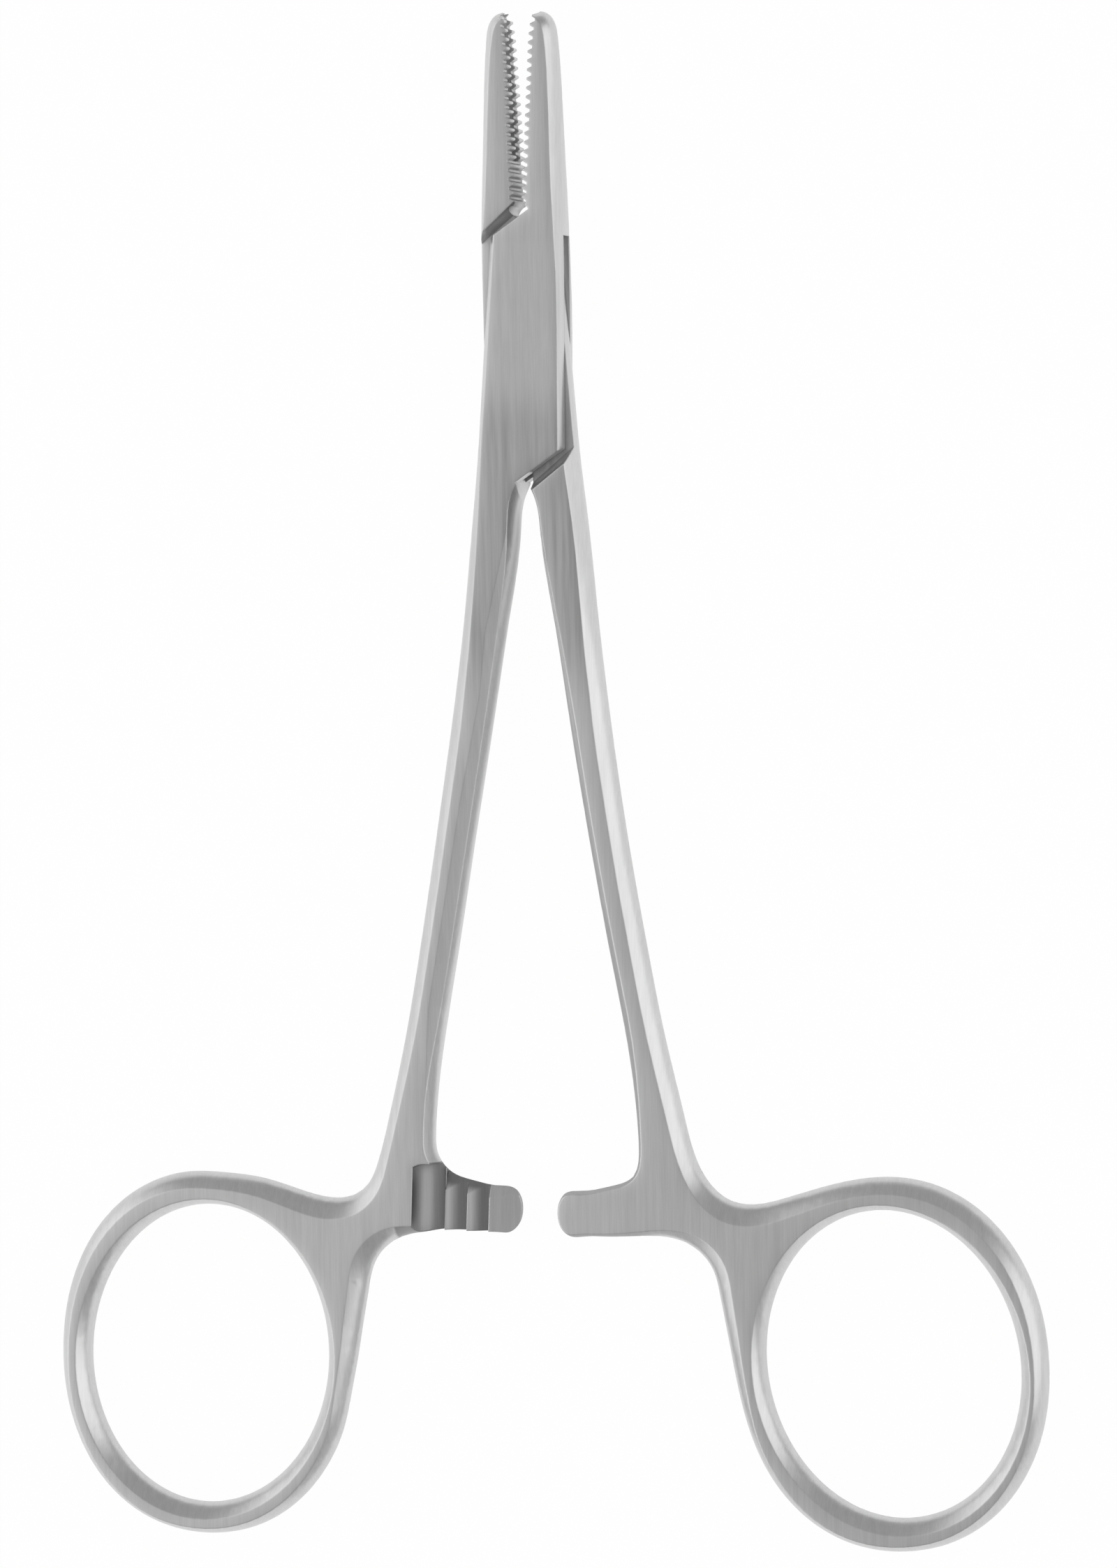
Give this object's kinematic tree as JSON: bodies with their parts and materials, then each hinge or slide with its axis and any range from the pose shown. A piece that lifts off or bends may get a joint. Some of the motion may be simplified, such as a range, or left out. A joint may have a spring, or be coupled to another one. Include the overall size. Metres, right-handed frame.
{
  "type": "surgical needle holder",
  "caption": "Ring-handled needle holder with short serrated jaws, a box lock on a flush rivet and a ratchet that holds the handles together.",
  "frame": {"origin": "on the pivot's axis, at the back face of the box lock", "axes": "+Y towards the jaws, +Z along the pivot out of the front face, +X towards the ring of the half that passes through the box"},
  "size_m": [0.0874, 0.1294, 0.0043],
  "materials": {
    "box_steel": "satin, brushed along the length",
    "through_steel": "satin, brushed along the length",
    "rivet_steel": "satin, ground flush"
  },
  "bodies": {
    "box_side": {"box_half": "box_steel", "pivot_rivet": "rivet_steel"},
    "through_side": {"through_half": "through_steel"}
  },
  "joints": [
    {"name": "box_lock", "type": "hinge", "parent": "box_side", "child": "through_side", "pos_m": [0, 0, 0.00215], "axis": [0, 0, 1], "range_deg": [-5.1, 40]}
  ]
}
